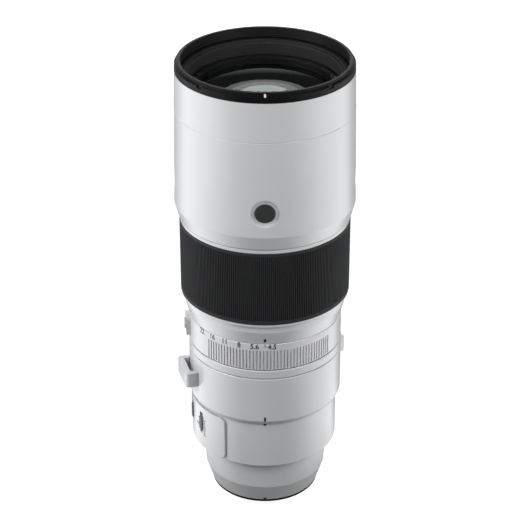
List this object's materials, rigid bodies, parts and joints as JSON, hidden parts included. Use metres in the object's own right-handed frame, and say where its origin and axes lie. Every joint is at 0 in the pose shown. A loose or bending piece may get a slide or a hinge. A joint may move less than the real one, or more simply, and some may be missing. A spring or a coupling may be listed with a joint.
{
  "type": "telephoto lens",
  "caption": "White telephoto lens with ribbed focus ring, aperture ring, function buttons, switch panel, strap lugs, tripod collar and foot, iris and rear bayonet.",
  "frame": {"origin": "centre of the rear mount's flange face", "axes": "+Z along the optical axis towards the front glass, -Y towards the index marks, +Y towards the tripod foot"},
  "size_m": [0.1046, 0.1212, 0.2833],
  "materials": {
    "white_paint": "fine hammered white paint",
    "black_ring": "satin black",
    "black_metal": "matt black anodised",
    "rubber": "ribbed rubber",
    "black_plastic": "matt black",
    "grey_button": "matt dark grey rubber",
    "bright_metal": "polished plating",
    "steel": "zinc plated",
    "gold": "gold plated contacts",
    "coated_glass": "anti-reflection coating",
    "board": "circuit board"
  },
  "bodies": {
    "barrel": {"front_ring": "black_ring", "front_retainer": "black_metal", "front_element": "coated_glass", "front_cell": "black_metal", "second_element": "coated_glass", "name_barrel": "white_paint", "baffle_tube": "black_metal", "main_barrel": "white_paint", "button_switches": "steel", "mid_barrel": "white_paint", "rear_tube": "white_paint", "switch_barrel": "white_paint", "switch_panel": "white_paint", "circuit_board": "board", "rear_barrel": "white_paint", "mount_seal": "rubber", "mount_plate": "bright_metal", "mount_screws": "steel", "rear_baffle": "black_plastic", "contact_block": "black_plastic", "contact_pins": "gold", "core_tube": "black_metal", "focus_frame": "black_metal", "guide_rods": "steel", "iris_housing": "black_metal", "iris_cover": "black_metal", "stabiliser_base": "black_plastic", "rear_cell": "black_metal", "rear_element": "coated_glass"},
    "focus_ring": {"focus_sleeve": "white_paint", "focus_grip": "rubber"},
    "aperture_ring": {"aperture_ring": "white_paint"},
    "aperture_lock": {"aperture_lock_button": "white_paint"},
    "collar": {"collar_ring": "white_paint", "strap_lugs": "white_paint", "tripod_foot": "white_paint", "foot_screws": "steel"},
    "clamp_knob": {"clamp_knob": "black_plastic"},
    "button_front": {"function_button_front": "grey_button"},
    "button_right": {"function_button_right": "grey_button"},
    "button_rear": {"function_button_rear": "grey_button"},
    "button_left": {"function_button_left": "grey_button"},
    "limit_slider": {"focus_limit_slider": "black_plastic"},
    "preset_slider": {"preset_slider": "black_plastic"},
    "steady_slider": {"stabiliser_slider": "black_plastic"},
    "focus_group": {"focus_carriage": "black_metal", "focus_element": "coated_glass"},
    "iris_ring": {"iris_drive_ring": "black_plastic"},
    "steady_frame": {"stabiliser_frame": "black_plastic"},
    "steady_group": {"stabiliser_holder": "black_plastic", "stabiliser_element": "coated_glass"},
    "blade_1": {"iris_blade_1": "black_metal"},
    "blade_2": {"iris_blade_2": "black_metal"},
    "blade_3": {"iris_blade_3": "black_metal"},
    "blade_4": {"iris_blade_4": "black_metal"},
    "blade_5": {"iris_blade_5": "black_metal"},
    "blade_6": {"iris_blade_6": "black_metal"},
    "blade_7": {"iris_blade_7": "black_metal"},
    "blade_8": {"iris_blade_8": "black_metal"},
    "blade_9": {"iris_blade_9": "black_metal"}
  },
  "joints": [
    {"name": "focus_turn", "type": "hinge", "parent": "barrel", "child": "focus_ring", "pos_m": [0, 0, 0.1582], "axis": [0, 0, 1], "continuous": true},
    {"name": "aperture_turn", "type": "hinge", "parent": "barrel", "child": "aperture_ring", "pos_m": [0, 0, 0.11125], "axis": [0, 0, 1], "range_deg": [0, 66]},
    {"name": "aperture_lock_press", "type": "slide", "parent": "aperture_ring", "child": "aperture_lock", "axis": [0.9945, 0.1045, 0], "range_m": [0, 0.0008], "stiffness_N_per_m": 500},
    {"name": "collar_turn", "type": "hinge", "parent": "barrel", "child": "collar", "pos_m": [0, 0, 0.08065], "axis": [0, 0, 1], "continuous": true},
    {"name": "clamp_turn", "type": "hinge", "parent": "collar", "child": "clamp_knob", "pos_m": [-0.025, 0.0433, 0.08065], "axis": [-0.5, 0.866, 0], "range_deg": [0, 180]},
    {"name": "limit_slide", "type": "slide", "parent": "barrel", "child": "limit_slider", "axis": [0, 0, 1], "range_m": [-0.003, 0.003]},
    {"name": "preset_slide", "type": "slide", "parent": "barrel", "child": "preset_slider", "axis": [0, 0, 1], "range_m": [-0.003, 0.003]},
    {"name": "steady_switch_slide", "type": "slide", "parent": "barrel", "child": "steady_slider", "axis": [0, 0, 1], "range_m": [-0.003, 0.003]},
    {"name": "focus_slide", "type": "slide", "parent": "barrel", "child": "focus_group", "axis": [0, 0, 1], "range_m": [0, 0.021]},
    {"name": "iris_turn", "type": "hinge", "parent": "barrel", "child": "iris_ring", "pos_m": [0, 0, 0.1335], "axis": [0, 0, 1], "range_deg": [0, 20]},
    {"name": "steady_shift_x", "type": "slide", "parent": "barrel", "child": "steady_frame", "axis": [1, 0, 0], "range_m": [-0.001, 0.001], "stiffness_N_per_m": 150},
    {"name": "steady_shift_y", "type": "slide", "parent": "steady_frame", "child": "steady_group", "axis": [0, 1, 0], "range_m": [-0.001, 0.001], "stiffness_N_per_m": 150},
    {"name": "front_button_press", "type": "slide", "parent": "barrel", "child": "button_front", "axis": [0, 1, 0], "range_m": [0, 0.0006], "stiffness_N_per_m": 700},
    {"name": "right_button_press", "type": "slide", "parent": "barrel", "child": "button_right", "axis": [-1, 0, 0], "range_m": [0, 0.0006], "stiffness_N_per_m": 700},
    {"name": "rear_button_press", "type": "slide", "parent": "barrel", "child": "button_rear", "axis": [0, -1, 0], "range_m": [0, 0.0006], "stiffness_N_per_m": 700},
    {"name": "left_button_press", "type": "slide", "parent": "barrel", "child": "button_left", "axis": [1, 0, 0], "range_m": [0, 0.0006], "stiffness_N_per_m": 700},
    {"name": "blade_1_swing", "type": "hinge", "parent": "barrel", "child": "blade_1", "pos_m": [0, -0.0266, 0.131], "axis": [0, 0, 1], "range_deg": [0, 31]},
    {"name": "blade_2_swing", "type": "hinge", "parent": "barrel", "child": "blade_2", "pos_m": [0.0171, -0.02038, 0.131], "axis": [0, 0, 1], "range_deg": [0, 31]},
    {"name": "blade_3_swing", "type": "hinge", "parent": "barrel", "child": "blade_3", "pos_m": [0.0262, -0.00462, 0.131], "axis": [0, 0, 1], "range_deg": [0, 31]},
    {"name": "blade_4_swing", "type": "hinge", "parent": "barrel", "child": "blade_4", "pos_m": [0.02304, 0.0133, 0.131], "axis": [0, 0, 1], "range_deg": [0, 31]},
    {"name": "blade_5_swing", "type": "hinge", "parent": "barrel", "child": "blade_5", "pos_m": [0.0091, 0.025, 0.131], "axis": [0, 0, 1], "range_deg": [0, 31]},
    {"name": "blade_6_swing", "type": "hinge", "parent": "barrel", "child": "blade_6", "pos_m": [-0.0091, 0.025, 0.131], "axis": [0, 0, 1], "range_deg": [0, 31]},
    {"name": "blade_7_swing", "type": "hinge", "parent": "barrel", "child": "blade_7", "pos_m": [-0.02304, 0.0133, 0.131], "axis": [0, 0, 1], "range_deg": [0, 31]},
    {"name": "blade_8_swing", "type": "hinge", "parent": "barrel", "child": "blade_8", "pos_m": [-0.0262, -0.00462, 0.131], "axis": [0, 0, 1], "range_deg": [0, 31]},
    {"name": "blade_9_swing", "type": "hinge", "parent": "barrel", "child": "blade_9", "pos_m": [-0.0171, -0.02038, 0.131], "axis": [0, 0, 1], "range_deg": [0, 31]}
  ],
  "couplings": [
    {"joint": "blade_1_swing", "follows": "iris_turn", "ratio": 1.55},
    {"joint": "blade_2_swing", "follows": "iris_turn", "ratio": 1.55},
    {"joint": "blade_3_swing", "follows": "iris_turn", "ratio": 1.55},
    {"joint": "blade_4_swing", "follows": "iris_turn", "ratio": 1.55},
    {"joint": "blade_5_swing", "follows": "iris_turn", "ratio": 1.55},
    {"joint": "blade_6_swing", "follows": "iris_turn", "ratio": 1.55},
    {"joint": "blade_7_swing", "follows": "iris_turn", "ratio": 1.55},
    {"joint": "blade_8_swing", "follows": "iris_turn", "ratio": 1.55},
    {"joint": "blade_9_swing", "follows": "iris_turn", "ratio": 1.55}
  ]
}
